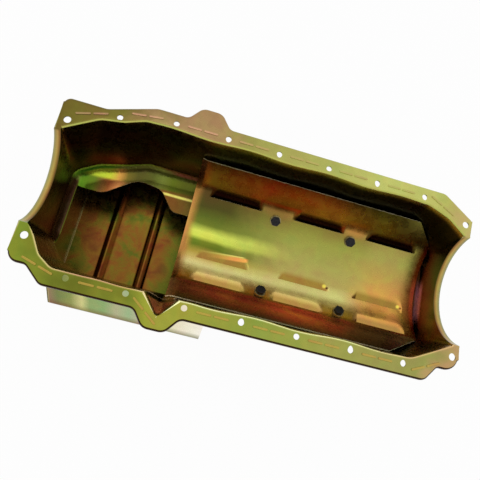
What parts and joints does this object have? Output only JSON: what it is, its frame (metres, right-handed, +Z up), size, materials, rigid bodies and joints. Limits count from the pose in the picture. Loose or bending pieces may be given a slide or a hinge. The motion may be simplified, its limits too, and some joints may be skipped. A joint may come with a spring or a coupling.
{
  "type": "engine oil pan",
  "caption": "Gold-zinc plated steel wet-sump oil pan with a bolted louvred windage tray, a deep flared rear sump, half-round seal seats and a dipstick pocket.",
  "frame": {"origin": "on the gasket face, under the crankshaft line, midway between the two middle rail bolts", "axes": "+X to the front of the engine, +Y to the engine's left-hand side, +Z up out of the pan, along the bolts"},
  "size_m": [0.5492, 0.2856, 0.1889],
  "materials": {
    "pan_plating": "yellow zinc chromate on pressed steel, smooth, with green, gold and red-brown tints",
    "tray_plating": "yellow zinc chromate on rolled steel, brighter gold and chartreuse",
    "black_bolt": "black oxide",
    "bright_zinc": "bright zinc",
    "copper_washer": "bare copper"
  },
  "bodies": {
    "root": {"drain_bung": "pan_plating", "drain_plug": "bright_zinc", "drain_washer": "copper_washer", "left_gusset": "pan_plating", "pan_body": "pan_plating", "right_gusset": "pan_plating", "sump_front_plate": "pan_plating", "sump_rear_plate": "pan_plating", "sump_wrap": "pan_plating", "tray_bolt_1": "black_bolt", "tray_bolt_2": "black_bolt", "tray_bolt_3": "black_bolt", "tray_bolt_4": "black_bolt", "tray_standoff_1": "pan_plating", "tray_standoff_2": "pan_plating", "tray_standoff_3": "pan_plating", "tray_standoff_4": "pan_plating", "tray_washer_1": "bright_zinc", "tray_washer_2": "bright_zinc", "tray_washer_3": "bright_zinc", "tray_washer_4": "bright_zinc", "windage_tray": "tray_plating"}
  },
  "joints": []
}
